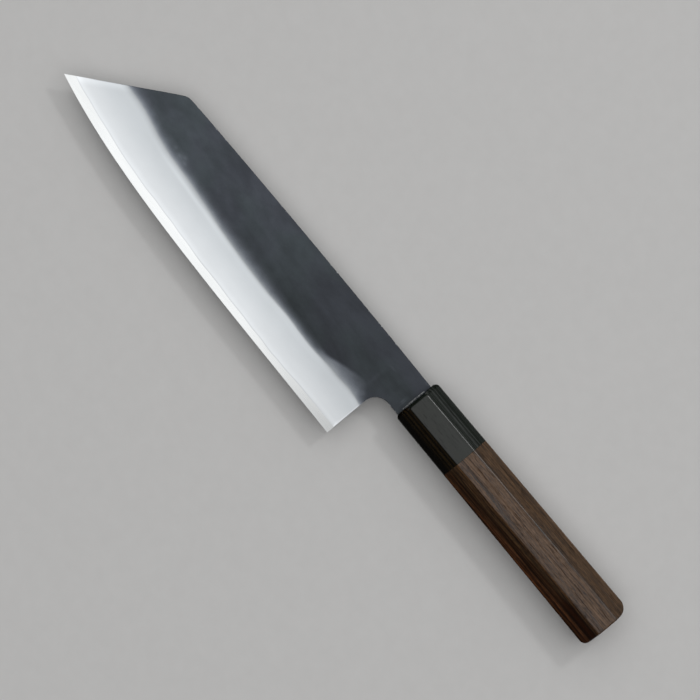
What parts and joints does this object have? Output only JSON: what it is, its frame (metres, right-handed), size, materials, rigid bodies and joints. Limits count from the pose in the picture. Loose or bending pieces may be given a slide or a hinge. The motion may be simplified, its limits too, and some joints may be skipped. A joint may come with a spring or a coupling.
{
  "type": "bunka knife",
  "caption": "Bunka kitchen knife: clipped-tip laminated blade with dark forged faces and a wide bright bevel, set in an octagonal wooden handle with a dark ferrule.",
  "frame": {"origin": "under the middle of the knife's box, at the height of the lowest edge of the handle's right side facet", "axes": "+X along the handle's axis towards the tip, +Y towards the cutting edge, +Z out of the left face, which is the face that is up when the knife lies on its right side"},
  "size_m": [0.3306, 0.0506, 0.02],
  "materials": {
    "core_steel": "hard steel, finely ground and bright along the edge",
    "cladding_steel": "soft steel, blue-grey forge scale above and a satin ground bevel below",
    "ferrule_wood": "near-black dense wood, polished",
    "handle_wood": "dark reddish-brown wood with fine straight grain, oiled",
    "dowel_wood": "pale softwood, bare",
    "resin": "cured resin, clear and glossy"
  },
  "bodies": {
    "root": {"core_steel": "core_steel", "left_cladding": "cladding_steel", "right_cladding": "cladding_steel", "ferrule": "ferrule_wood", "handle_body": "handle_wood", "dowel_left_half": "dowel_wood", "dowel_right_half": "dowel_wood", "tang_resin": "resin", "mouth_seal": "resin"}
  },
  "joints": []
}
